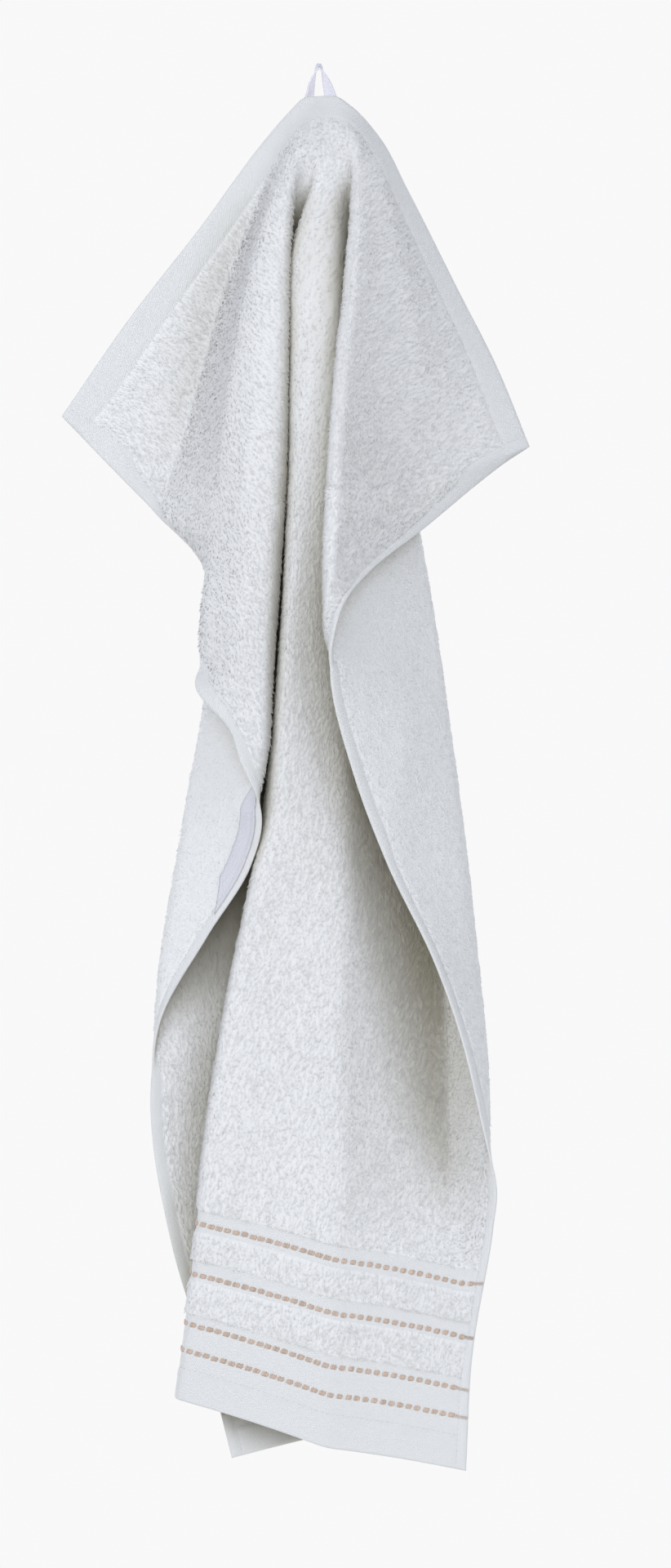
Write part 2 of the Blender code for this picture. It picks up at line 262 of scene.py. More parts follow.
@dataclass(frozen=True)
class HungCloth:
    """The flat towel and the way it hangs from the middle of its header edge."""

    width: float = 500.0
    length: float = 820.0
    header_middle: tuple[float, float, float] = (0.8, 0.0, -15.0)
    fold_softness: float = 8.0
    top_softness: float = 6.0
    top_reach: float = 60.0
    tip_allowance: float = 2.5
    softest_turn: float = 0.9
    shoulder_length: float = 1.35
    fold_fade_at_rim: float = 35.0
    fold_growth_length: float = 110.0
    softness_steps: int = 21
    gather_loss: float = 1.8
    gather_length: float = 25.0
    header_slack: float = 8.0
    header_slack_reach: float = 45.0
    slack_start: tuple[float, float] = (10.0, 60.0)
    slack_end: tuple[float, float] = (225.0, 275.0)
    softness_falloff: float = 0.92
    row_gap: float = 5.0

    def rim_angle(self, reach: np.ndarray) -> np.ndarray:
        """Angle from straight down at which the flat towel ends at each distance."""
        return np.degrees(np.arcsin(np.minimum(self.width / 2 / np.maximum(reach, 1e-6), 1)))

    def eased(self, angle: np.ndarray, reach: np.ndarray) -> np.ndarray:
        """Angles at which the section is read, so that the cloth beside the header edge keeps its width.

        Args:
            angle: the flat places' own angles from straight down.
            reach: their distances from the header's middle.

        Returns:
            Angles moved away from the header edge, where the folds take up less cloth than in the tables.
        """
        rim = self.rim_angle(reach)
        inward = np.clip(rim - np.abs(angle), 0, None)
        near = np.sin(np.pi * np.minimum(inward, self.header_slack_reach) / self.header_slack_reach)
        fade = smooth_step(*self.slack_start, reach) * (1 - smooth_step(*self.slack_end, reach))
        return np.sign(angle) * (rim - inward - self.header_slack * near * fade)

    def rim_place(self, side: float, reach: np.ndarray) -> np.ndarray:
        """Place on the header edge, or on the side hem past its corner.

        Args:
            side: below zero for the left.
            reach: distances from the header's middle.

        Returns:
            One place for each distance.
        """
        half = self.width / 2
        header, hem = (LEFT_HEADER, LEFT_HEM) if side < 0 else (RIGHT_HEADER, RIGHT_HEM)
        on_header = smooth_course(header, np.minimum(reach, half))
        down = np.sqrt(np.maximum(reach ** 2 - half ** 2, 0))
        on_hem = smooth_course(hem, np.minimum(down, self.length))
        return np.where((reach <= half)[:, None], on_header, on_hem)

    def ray_length(self, angle: np.ndarray) -> np.ndarray:
        """Measure rays from the header's middle to the rim of the flat towel.

        Args:
            angle: their angles from straight down.

        Returns:
            Their lengths.
        """
        turn = np.radians(np.abs(angle))
        to_side = self.width / 2 / np.maximum(np.sin(turn), 1e-9)
        to_bottom = self.length / np.maximum(np.cos(turn), 1e-9)
        return np.minimum(to_side, to_bottom)

    def fold_place(self, fold: Fold, reach: np.ndarray) -> np.ndarray:
        """Places along a fold.

        Args:
            fold: the fold.
            reach: distances from the header's middle.

        Returns:
            Places whose height is what is left of the fold's length once it has gone to the side and back.
        """
        length = float(self.ray_length(fold.angle))
        if fold.bottom is None:
            end = self.rim_place(np.sign(fold.angle), np.array([length]))[0]
        else:
            right, back = smooth_course(fold.course, np.array([length]))[0]
            end = np.array([right, back, fold.bottom])
        inner = [row for row in fold.course if row[0] < length - self.row_gap]
        rows = [(0, 0, 0), *inner, (length, end[0], end[1])]
        along = np.minimum(reach, length)
        flat = smooth_course(rows, along)
        gathered = self.gather_loss * (1 - np.exp(-along / self.gather_length))
        nearness = (along / length) ** 3
        far = along - gathered * (1 - nearness) - (length - np.linalg.norm(end)) * nearness
        height = -np.sqrt(np.maximum(far ** 2 - (flat ** 2).sum(axis=1), 0)) - np.maximum(reach - length, 0)
        return np.column_stack([flat, height])

    def section_corners(self, reach: np.ndarray) -> tuple[np.ndarray, np.ndarray, np.ndarray]:
        """Corners of the cloth's cross-section at each distance from the loop.

        Args:
            reach: distances from the header's middle.

        Returns:
            The rim's angles, the corners' angles and their places, with two shoulders to each sharp fold.
        """
        rim = self.rim_angle(reach)
        angles = [-rim] + [np.clip(fold.angle, -rim, rim) for fold in FOLDS] + [rim]
        ends = (self.rim_place(-1, reach), self.rim_place(1, reach))
        places = [ends[0]]
        for fold in FOLDS:
            past = (np.abs(fold.angle) >= rim)[:, None]
            places.append(np.where(past, ends[int(fold.angle > 0)], self.fold_place(fold, reach)))
        places.append(ends[1])
        corner_angles, corners = [angles[0]], [places[0]]
        for index, fold in enumerate(FOLDS, start=1):
            if fold.turn == 0:
                corner_angles.append(angles[index])
                corners.append(places[index])
                continue
            room = (rim - np.abs(angles[index])) * np.pi / 180 * reach
            fade = np.clip(room / self.fold_fade_at_rim, 0, 1)
            growth = fade ** 2 * (3 - 2 * fade) * np.clip(reach / self.fold_growth_length, 0, 1)
            before, after = (level(places[index + step] - places[index + step - 1]) for step in (0, 1))
            tip = unit(before - after)
            across = np.column_stack([-tip[:, 1], tip[:, 0], 0 * reach]) * fold.turn
            gap = fold.gap * growth
            spread = np.degrees(gap * self.shoulder_length / np.maximum(reach, 1))
            crest = places[index] + tip * (self.tip_allowance * growth)[:, None]
            for side in (-1, 1):
                corner_angles.append(np.clip(angles[index] + side * spread, -rim, rim))
                corners.append(crest + side * across * gap[:, None])
        corner_angles.append(angles[-1])
        corners.append(places[-1])
        return rim, np.array(corner_angles), np.array(corners)

    @staticmethod
    def section_place(
        angle: np.ndarray, rim: np.ndarray, corner_angles: np.ndarray, corners: np.ndarray
    ) -> np.ndarray:
        """Read the straight-sided section, which runs on past a rim as its own turned mirror image.

        Args:
            angle: angles from straight down.
            rim: the rim's angle at each distance.
            corner_angles: the corners' angles.
            corners: the corners' places.

        Returns:
            One place for each angle.
        """
        mirrored = np.where(angle < -rim, -2 * rim - angle, np.where(angle > rim, 2 * rim - angle, angle))
        inside = np.clip(mirrored, -rim, rim)
        place = np.zeros((len(angle), 3))
        for start in range(len(corners) - 1):
            low, high = corner_angles[start], corner_angles[start + 1]
            here = (inside >= low) & (inside <= high) & (high > low)
            share = np.where(here, (inside - low) / np.maximum(high - low, 1e-9), 0)[:, None]
            edge = corners[start + 1] - corners[start]
            place = np.where(here[:, None], corners[start] + edge * share, place)
        place = np.where((angle < -rim)[:, None], 2 * corners[0] - place, place)
        return np.where((angle > rim)[:, None], 2 * corners[-1] - place, place)

    def drape(self, across: np.ndarray, down: np.ndarray) -> np.ndarray:
        """Places of the hung cloth for points of the flat towel.

        Args:
            across: flat places across the towel.
            down: flat places down the towel.

        Returns:
            Places in millimetres in the row's frame.
        """
        reach = np.hypot(across, down)
        angle = self.eased(np.degrees(np.arctan2(across, down)), reach)
        rim, corner_angles, corners = self.section_corners(reach)
        softness = self.fold_softness + self.top_softness * np.exp(-(reach / self.top_reach) ** 2)
        window = np.degrees(np.minimum(softness / np.maximum(reach, 1e-3), self.softest_turn))
        window = np.minimum(window, rim * self.softest_turn)
        steps = np.linspace(-1, 1, self.softness_steps)
        weights = 1 - self.softness_falloff * np.abs(steps)
        weights /= weights.sum()
        place = np.zeros((len(reach), 3))
        for step, weight in zip(steps, weights):
            place += weight * self.section_place(angle + step * window, rim, corner_angles, corners)
        return place + np.array(self.header_middle)


class Band(NamedTuple):
    """A band across the towel: distances from the header edge where it starts and ends, and its weave."""

    start: float
    end: float
    zone: Zone


@dataclass(frozen=True)
class WovenLayout:
    """Where the towel is woven plain, has pile or is hemmed."""

    cloth: HungCloth
    side_hem: float = 6.5
    header_hem: float = 17.0
    end_hem: float = 21.0
    bands: tuple[Band, ...] = (
        Band(0, 17, Zone.HEM),
        Band(17, 696, Zone.PILE),
        Band(696, 710, Zone.PLAIN),
        Band(710, 728.3, Zone.PILE),
        Band(728.3, 741.5, Zone.PLAIN),
        Band(741.5, 763, Zone.PILE),
        Band(763, 799, Zone.PLAIN),
        Band(799, 820, Zone.HEM),
    )
    bead_rows: tuple[float, ...] = (705.0, 737.5, 770.0, 787.3)

    def pile_share(self, across: np.ndarray, down: np.ndarray, edge: float = 1.5) -> np.ndarray:
        """Find how much pile stands at each place.

        Args:
            across: flat places across the towel.
            down: flat places down the towel.
            edge: half the width of the soft change at a band's edge.

        Returns:
            Shares from 0 to 1.
        """
        share = np.zeros_like(down)
        for band in self.bands:
            if band.zone is Zone.PILE:
                inside = smooth_step(band.start - edge, band.start + edge, down)
                share += inside * (1 - smooth_step(band.end - edge, band.end + edge, down))
        side = self.cloth.width / 2 - self.side_hem
        return share * (1 - smooth_step(side - edge, side + edge, np.abs(across)))

    def stitch_distance(self, across: np.ndarray, down: np.ndarray) -> np.ndarray:
        """Measure how far each place is from the nearest line of hem stitches.

        Args:
            across: flat places across the towel.
            down: flat places down the towel.

        Returns:
            Distances in millimetres.
        """
        inner = self.cloth.width / 2 - self.side_hem
        side = np.abs(np.abs(across) - inner)
        head, end = np.abs(down - self.header_hem), np.abs(down - self.cloth.length + self.end_hem)
        outside = np.abs(across) > inner + 1
        return np.minimum(side, np.where(outside, side + head + end, np.minimum(head, end)))

    def hem_share(self, across: np.ndarray, down: np.ndarray, edge: float = 0.8) -> np.ndarray:
        """Find the hems, where the cloth is turned over and doubled.

        Args:
            across: flat places across the towel.
            down: flat places down the towel.
            edge: half the width of the soft change at a hem's edge.

        Returns:
            1 on the hems and 0 elsewhere.
        """
        side = smooth_step(-edge, edge, np.abs(across) - self.cloth.width / 2 + self.side_hem)
        head = smooth_step(-edge, edge, self.header_hem - down)
        end = smooth_step(-edge, edge, down - self.cloth.length + self.end_hem)
        return np.maximum(side, np.maximum(head, end))


@dataclass(frozen=True)
class ClothHeights:
    """How far the cloth's faces stand from its middle surface, in millimetres."""

    layout: WovenLayout
    plain: float = 0.55
    hem: float = 1.05
    pile_front: float = 1.25
    pile_reverse: float = 1.15
    lump: float = 0.25
    lump_sizes: tuple[float, float] = (7.0, 3.6)
    fine_lump_share: float = 0.6
    pucker: float = 0.12
    pucker_size: float = 4.0
    edge_round: float = 1.6
    edge_least: float = 0.06
    stitch_sink: float = 0.5
    stitch_width: float = 0.9
    gather_press: float = 0.4
    gather_reach: float = 60.0

    def height(self, side: Side, across: np.ndarray, down: np.ndarray) -> np.ndarray:
        """Height of one face over the middle surface.

        Args:
            side: which face.
            across: flat places across the towel.
            down: flat places down the towel.

        Returns:
            Heights in millimetres, with the lumps, hems, sunk stitch lines and rounded rims.
        """
        cloth, layout = self.layout.cloth, self.layout
        pile, hem = layout.pile_share(across, down), layout.hem_share(across, down)
        top = self.pile_front if side is Side.FRONT else self.pile_reverse
        lumps = soft_noise(across, down, self.lump_sizes[0], 3 + side.value)
        lumps = lumps + self.fine_lump_share * soft_noise(across, down, self.lump_sizes[1], 9 + side.value)
        height = self.plain + (self.hem - self.plain) * hem
        height = height * (1 - pile) + (top + self.lump * lumps) * pile
        puckers = self.pucker * soft_noise(across, down, self.pucker_size, 21) * hem
        sunk = np.exp(-(layout.stitch_distance(across, down) / self.stitch_width) ** 2)
        height = height - self.stitch_sink * sunk
        rim = np.minimum(cloth.width / 2 - np.abs(across), np.minimum(down, cloth.length - down))
        nearness = np.clip(rim / self.edge_round, self.edge_least, 1)
        rounding = np.sqrt(nearness * (2 - nearness))
        gathered = 1 - self.gather_press * np.exp(-(np.hypot(across, down) / self.gather_reach) ** 2)
        return (height + puckers) * rounding * gathered


@dataclass
class FineCloth:
    """The middle surface of the cloth on a fine net of flat places, with its normals."""

    layout: WovenLayout
    heights: ClothHeights
    step: float = 3.2
    rim_lines: tuple[float, float] = (0.7, 2.0)
    hem_line: float = 1.0
    columns: np.ndarray = field(init=False)
    rows: np.ndarray = field(init=False)
    places: np.ndarray = field(init=False)
    normals: np.ndarray = field(init=False)

    def __post_init__(self) -> None:
        """Work out the net once."""
        cloth, layout = self.layout.cloth, self.layout
        half = cloth.width / 2
        inner = half - layout.side_hem
        to_side = [half - line for line in (0.0, *self.rim_lines)]
        to_side += [inner + self.hem_line * step for step in (-1, 0, 1)]
        marks_across = [0.0, *to_side, *(-mark for mark in to_side)]
        marks_down = [0.0, *self.rim_lines, *(cloth.length - line for line in (0.0, *self.rim_lines))]
        for band in layout.bands[1:]:
            marks_down.extend(band.start + self.hem_line * step for step in (-1, 0, 1))
        self.columns = self.spaced(sorted(marks_across))
        self.rows = self.spaced(sorted(marks_down))
        across, down = np.meshgrid(self.columns, self.rows, indexing="ij")
        flat = cloth.drape(across.ravel(), down.ravel())
        self.places = flat.reshape(*across.shape, 3)
        along = np.gradient(self.places, self.rows, axis=1)
        aside = np.gradient(self.places, self.columns, axis=0)
        self.normals = unit(np.cross(aside, along))
        if self.normals[:, :, 1].mean() < 0:
            self.normals = -self.normals

    def spaced(self, marks: list[float]) -> np.ndarray:
        """Lines of the net.

        Args:
            marks: places in order at which a line has to lie.

        Returns:
            Lines at the marks, and evenly between them at most one step apart.
        """
        lines = [marks[0]]
        for low, high in zip(marks, marks[1:]):
            count = max(1, int(np.ceil((high - low) / self.step - 1e-6)))
            lines.extend(low + (high - low) * index / count for index in range(1, count + 1))
        return np.array(lines)

    def read(self, side: Side, across: np.ndarray, down: np.ndarray) -> tuple[np.ndarray, ...]:
        """Read the cloth's face at flat places.

        Args:
            side: which face.
            across: flat places across the towel.
            down: flat places down the towel.

        Returns:
            Places on the face, directions out of it, and directions across and down the cloth.
        """
        column, row = self.cells(across, down)
        outward = unit(self.mixed(self.normals, across, down)) * side.value
        aside = unit(self.places[column + 1, row] - self.places[column, row])
        onward = unit(self.places[column, row + 1] - self.places[column, row])
        height = self.heights.height(side, across, down)[:, None]
        return self.mixed(self.places, across, down) + outward * height, outward, aside, onward

    def cells(self, across: np.ndarray, down: np.ndarray) -> tuple[np.ndarray, np.ndarray]:
        """Find the net's cell that holds each flat place.

        Args:
            across: flat places across the towel.
            down: flat places down the towel.

        Returns:
            The cells' columns and rows.
        """
        column = np.clip(np.searchsorted(self.columns, across, side="right") - 1, 0, len(self.columns) - 2)
        row = np.clip(np.searchsorted(self.rows, down, side="right") - 1, 0, len(self.rows) - 2)
        return column, row

    def mixed(self, values: np.ndarray, across: np.ndarray, down: np.ndarray) -> np.ndarray:
        """Read values that are kept on the net's points.

        Args:
            values: a row of values for each point of the net.
            across: flat places across the towel.
            down: flat places down the towel.

        Returns:
            Values mixed from the four corners of each flat place's cell.
        """
        column, row = self.cells(across, down)
        left, right = self.columns[column], self.columns[column + 1]
        share = ((across - left) / (right - left))[:, None]
        head = values[column, row] * (1 - share) + values[column + 1, row] * share
        foot = values[column, row + 1] * (1 - share) + values[column + 1, row + 1] * share
        share = ((down - self.rows[row]) / (self.rows[row + 1] - self.rows[row]))[:, None]
        return head * (1 - share) + foot * share


@dataclass
class PaintedCreaseShade:
    """How far the folds shut in each place of the cloth, from 0 in the open to 1 deep in a crease, which
    sets how much painted shade its colour gets.
    """

    fine: FineCloth
    stride: int = 2
    rays: int = 20
    reach: float = 70.0
    lift: float = 2.5
    nets: dict[Side, np.ndarray] = field(init=False)

    def __post_init__(self) -> None:
        """Look out of both faces of a coarse net of the cloth."""
        lines = (self.fine.columns, self.fine.rows)
        columns, rows = (np.unique([*range(0, len(line), self.stride), len(line) - 1]) for line in lines)
        places, normals = (net[np.ix_(columns, rows)] for net in (self.fine.places, self.fine.normals))
        index = np.arange(len(columns) * len(rows)).reshape(len(columns), len(rows))
        quads = np.stack([index[:-1, :-1], index[1:, :-1], index[1:, 1:], index[:-1, 1:]], axis=2)
        tree = BVHTree.FromPolygons(places.reshape(-1, 3).tolist(), quads.reshape(-1, 4).tolist())
        self.nets = {}
        for side in Side:
            shade_share = self.shut_share(tree, places.reshape(-1, 3), normals.reshape(-1, 3) * side.value)
            net = self.evened(shade_share.reshape(len(columns), len(rows)))
            along = np.array([np.interp(self.fine.rows, self.fine.rows[rows], line) for line in net])
            full = [np.interp(self.fine.columns, self.fine.columns[columns], line) for line in along.T]
            self.nets[side] = np.array(full).T[:, :, None]

    def shut_share(self, tree: BVHTree, places: np.ndarray, outward: np.ndarray) -> np.ndarray:
        """Look out of each place with rays spread over the half round.

        Args:
            tree: the cloth's faces.
            places: where the rays start.
            outward: the way out of the cloth at each place.

        Returns:
            The share of each place's rays that meet the cloth again.
        """
        steps = np.arange(self.rays) + 0.5
        radius, turn = np.sqrt(steps / self.rays), steps * np.pi * (3 - np.sqrt(5))
        spread = np.column_stack([radius * np.cos(turn), radius * np.sin(turn), np.sqrt(1 - radius**2)])
        aside = unit(np.cross(outward, (0.0, 0.0, 1.0)) + 1e-6)
        frames = np.stack([aside, np.cross(outward, aside), outward], axis=2)
        ways = np.einsum("nij,rj->nri", frames, spread).tolist()
        starts = (places + outward * self.lift).tolist()
        met = [
            sum(tree.ray_cast(start, way, self.reach)[0] is not None for way in some)
            for start, some in zip(starts, ways)
        ]
        return np.array(met) / self.rays

    @staticmethod
    def evened(net: np.ndarray) -> np.ndarray:
        """Even out each value of a net with its neighbours.

        Args:
            net: one value for each point.

        Returns:
            The evened net.
        """
        wide = np.pad(net, 1, mode="edge")
        lines = (wide[:-2] + 2 * wide[1:-1] + wide[2:]) / 4
        return (lines[:, :-2] + 2 * lines[:, 1:-1] + lines[:, 2:]) / 4

    def at(self, side: Side, across: np.ndarray, down: np.ndarray) -> np.ndarray:
        """How much painted crease shade flat places on one face get."""
        return self.fine.mixed(self.nets[side], across, down)[:, 0]


def set_inputs(node: bpy.types.Node, values: dict[str, float]) -> None:
    """Set a node's inputs.

    Args:
        node: the node.
        values: a value for each input's name.
    """
    for name, value in values.items():
        node.inputs[name].default_value = value


@dataclass(frozen=True)
class ClothFinish:
    """A cotton finish: its colour, how rough it is and how its weave stands out."""

    name: str
    color: Color
    shade: Color
    grain: float
    bump: float
    roughness: float = 0.95
    twill: bool = False
    sheen: float = 0.25
    sheen_roughness: float = 0.55
    specular: float = 0.2
    grain_detail: float = 4.0
    ramp: tuple[float, float] = (0.3, 0.62)
    rib_scale: float = 520.0
    rib_wander: float = 0.6
    rib_detail: float = 2.0
    rib_height: float = 0.6
    bump_depth: float = 0.001

    def build(self) -> bpy.types.Material:
        """Make the material.

        Returns:
            The material, with its colour and weave from the piece's own flat map, and painted crease shade
            from the piece's attribute.
        """
        material = bpy.data.materials.new(self.name)
        material.use_nodes = True
        nodes, links = material.node_tree.nodes, material.node_tree.links
        shader = nodes["Principled BSDF"]
        set_inputs(shader, {
            "Roughness": self.roughness,
            "Sheen Weight": self.sheen,
            "Sheen Roughness": self.sheen_roughness,
            "Specular IOR Level": self.specular,
        })
        flat = nodes.new("ShaderNodeTexCoord").outputs["UV"]
        grain = nodes.new("ShaderNodeTexNoise")
        set_inputs(grain, {"Scale": self.grain, "Detail": self.grain_detail})
        links.new(flat, grain.inputs["Vector"])
        ramp = nodes.new("ShaderNodeValToRGB")
        for stop, position, color in zip(ramp.color_ramp.elements, self.ramp, (self.shade, self.color)):
            stop.position = position
            stop.color = (*color, 1)
        links.new(grain.outputs["Fac"], ramp.inputs["Fac"])
        # The base colour gets painted crease shade on top of its grain.
        links.new(self.with_painted_crease_shade(nodes, links, ramp.outputs["Color"]), shader.inputs["Base Color"])
        height = grain.outputs["Fac"]
        if self.twill:
            height = self.ribbed(nodes, links, flat, height)
        bump = nodes.new("ShaderNodeBump")
        set_inputs(bump, {"Strength": self.bump, "Distance": self.bump_depth})
        links.new(height, bump.inputs["Height"])
        links.new(bump.outputs["Normal"], shader.inputs["Normal"])
        return material

    def ribbed(
        self,
        nodes: bpy.types.Nodes,
        links: bpy.types.NodeLinks,
        flat: bpy.types.NodeSocket,
        grain: bpy.types.NodeSocket,
    ) -> bpy.types.NodeSocket:
        """Add diagonal ribs to the weave's grain.

        Args:
            nodes: the material's nodes.
            links: the material's links.
            flat: the piece's flat map.
            grain: the grain's height.

        Returns:
            The height of the grain and the ribs together.
        """
        ribs = nodes.new("ShaderNodeTexWave")
        ribs.wave_type = "BANDS"
        ribs.bands_direction = "DIAGONAL"
        set_inputs(ribs, {
            "Scale": self.rib_scale,
            "Distortion": self.rib_wander,
            "Detail Scale": self.rib_detail,
        })
        links.new(flat, ribs.inputs["Vector"])
        mix = nodes.new("ShaderNodeMath")
        mix.operation = "MULTIPLY_ADD"
        mix.inputs[1].default_value = self.rib_height
        links.new(ribs.outputs["Fac"], mix.inputs[0])
        links.new(grain, mix.inputs[2])
        return mix.outputs[0]

    @staticmethod
    def with_painted_crease_shade(
        nodes: bpy.types.Nodes, links: bpy.types.NodeLinks, color: bpy.types.NodeSocket
    ) -> bpy.types.NodeSocket:
        """Paint shade onto the cotton, warmer and darker where the folds shut a place in.

        Args:
            nodes: the material's nodes.
            links: the material's links.
            color: the cotton's colour in the open.

        Returns:
            The colour with painted crease shade multiplied in, standing in for shade and for light that
            goes from cloth to cloth.
        """
        crease_shade = nodes.new("ShaderNodeAttribute")
        crease_shade.attribute_name = CREASE_SHADE_LAYER
        share = nodes.new("ShaderNodeMapRange")
        set_inputs(share, {"From Min": CREASE_SHADE_RANGE[0], "From Max": CREASE_SHADE_RANGE[1]})
        links.new(crease_shade.outputs["Fac"], share.inputs["Value"])
        # Painted shade: the crease tint multiplies the cotton's colour by how far the folds shut it in.
        tint = nodes.new("ShaderNodeMix")
        tint.data_type = "RGBA"
        tint.blend_type = "MULTIPLY"
        under, over = (socket for socket in tint.inputs if socket.type == "RGBA")
        over.default_value = (*PAINTED_CREASE_SHADE_TINT, 1)
        links.new(share.outputs["Result"], tint.inputs["Factor"])
        links.new(color, under)
        return next(socket for socket in tint.outputs if socket.type == "RGBA")


def set_crease_shade(mesh: bpy.types.Mesh, values: np.ndarray) -> None:
    """Keep how far each point of a mesh is shut in, for the painted crease shade in its material."""
    layer = mesh.attributes.new(CREASE_SHADE_LAYER, "FLOAT", "POINT")
    layer.data.foreach_set("value", values.astype(np.float32))


PILE_FINISH = ClothFinish("terry_pile", (0.82, 0.803, 0.742), (0.78, 0.763, 0.705), 700.0, 0.15)
REVERSE_FINISH = ClothFinish("terry_reverse", (0.84, 0.825, 0.765), (0.78, 0.765, 0.71), 900.0, 0.5)
PLAIN_FINISH = ClothFinish(
    "plain_weave", (0.83, 0.818, 0.755), (0.77, 0.758, 0.70), 1200.0, 0.5, twill=True
)
TAPE_FINISH = ClothFinish(
    "loop_tape_weave", (0.84, 0.81, 0.82), (0.78, 0.75, 0.77), 1500.0, 0.3, twill=True
)
LABEL_FINISH = ClothFinish("label_twill", (0.81, 0.79, 0.785), (0.72, 0.70, 0.705), 900.0, 0.6, twill=True)
BEAD_FINISH = ClothFinish(
    "beige_floats", (0.64, 0.49, 0.375), (0.48, 0.36, 0.265), 1500.0, 0.4, roughness=0.8
)
THREAD_FINISH = ClothFinish(
    "sewing_thread", (0.74, 0.73, 0.70), (0.66, 0.65, 0.62), 1500.0, 0.3, roughness=0.7
)


def finish_piece(piece: bpy.types.Object, slot: str, *materials: bpy.types.Material) -> None:
    """Dress a piece and let it ride on the towel's body.

    Args:
        piece: the piece.
        slot: not used.
        materials: its materials, in the order of its faces' numbers.
    """
    for material in materials:
        piece.data.materials.append(material)
    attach(piece, "root")
    LOG.info("%s: %d faces", piece.name, len(piece.data.polygons))


def linked(name: str, data: bpy.types.ID) -> bpy.types.Object:
    """Put an object with the given data into the scene.

    Args:
        name: the object's name.
        data: its mesh, light or camera.

    Returns:
        The object.
    """
    piece = bpy.data.objects.new(name, data)
    bpy.context.collection.objects.link(piece)
    return piece


def new_piece(name: str, body: bmesh.types.BMesh, smooth: bool = True) -> bpy.types.Object:
    """Object of a modelled body, with its place in its mesh.

    Args:
        name: the piece's name.
        body: the modelled body, which is freed.
        smooth: whether its faces are shaded smooth.

    Returns:
        The piece.
    """
    mesh = bpy.data.meshes.new(name)
    body.to_mesh(mesh)
    body.free()
    if smooth:
        mesh.shade_smooth()
    return linked(name, mesh)


def walled_piece(name: str, body: bmesh.types.BMesh, thickness: float) -> bpy.types.Object:
    """Object of an open sheet, with its wall evenly to both sides.

    Args:
        name: the piece's name.
        body: the modelled sheet, which is freed.
        thickness: the wall's thickness in millimetres.

    Returns:
        The piece.
    """
    bmesh.ops.recalc_face_normals(body, faces=body.faces[:])
    piece = new_piece(name, body)
    wall = piece.modifiers.new(f"{name}_thickness", "SOLIDIFY")
    wall.thickness = thickness * MM
    wall.offset = 0.0
    return piece


def joined_copies(
    name: str,
    pattern: bmesh.types.BMesh,
    centres: np.ndarray,
    frames: np.ndarray,
    flat: np.ndarray,
    outward: np.ndarray | None = None,
) -> bpy.types.Object:
    """One piece of many small copies of a pattern.

    Args:
        name: the piece's name.
        pattern: the modelled pattern, about 1 mm in size, which is freed.
        centres: place of each copy in millimetres.
        frames: three columns for each copy, where the pattern's own X, Y and Z go, with their sizes.
        flat: flat place of each copy, in millimetres, for its material.
        outward: way out of the cloth at each copy, where the copies catch the light softly, as a nap does.

    Returns:
        The piece.
    """
    pattern.verts.ensure_lookup_table()
    points = np.array([vertex.co[:] for vertex in pattern.verts])
    faces = [[vertex.index for vertex in face.verts] for face in pattern.faces]
    pattern.free()
    count, size = len(centres), len(points)
    placed = (np.einsum("nij,pj->npi", frames, points) + centres[:, None, :]) * MM
    sides = np.array([len(face) for face in faces])
    corners = np.array([index for face in faces for index in face])
    all_corners = (corners[None, :] + np.arange(count)[:, None] * size).ravel()
    mesh = bpy.data.meshes.new(name)
    mesh.vertices.add(count * size)
    mesh.vertices.foreach_set("co", placed.ravel())
    mesh.loops.add(len(all_corners))
    mesh.loops.foreach_set("vertex_index", all_corners.astype(np.int32))
    starts = np.concatenate([[0], np.cumsum(np.tile(sides, count))[:-1]])
    mesh.polygons.add(count * len(faces))
    mesh.polygons.foreach_set("loop_start", starts.astype(np.int32))
    mesh.update(calc_edges=True)
    mesh.validate()
    mesh.shade_smooth()
    layer = mesh.uv_layers.new(name="flat")
    layer.data.foreach_set("uv", np.repeat(flat * MM, len(corners), axis=0).ravel())
    if outward is not None:
        own = np.array([normal.vector[:] for normal in mesh.vertex_normals])
        soft = unit(np.repeat(outward, size, axis=0) + own * NAP_ROUNDNESS)
        mesh.normals_split_custom_set_from_vertices(soft.tolist())
    return linked(name, mesh)


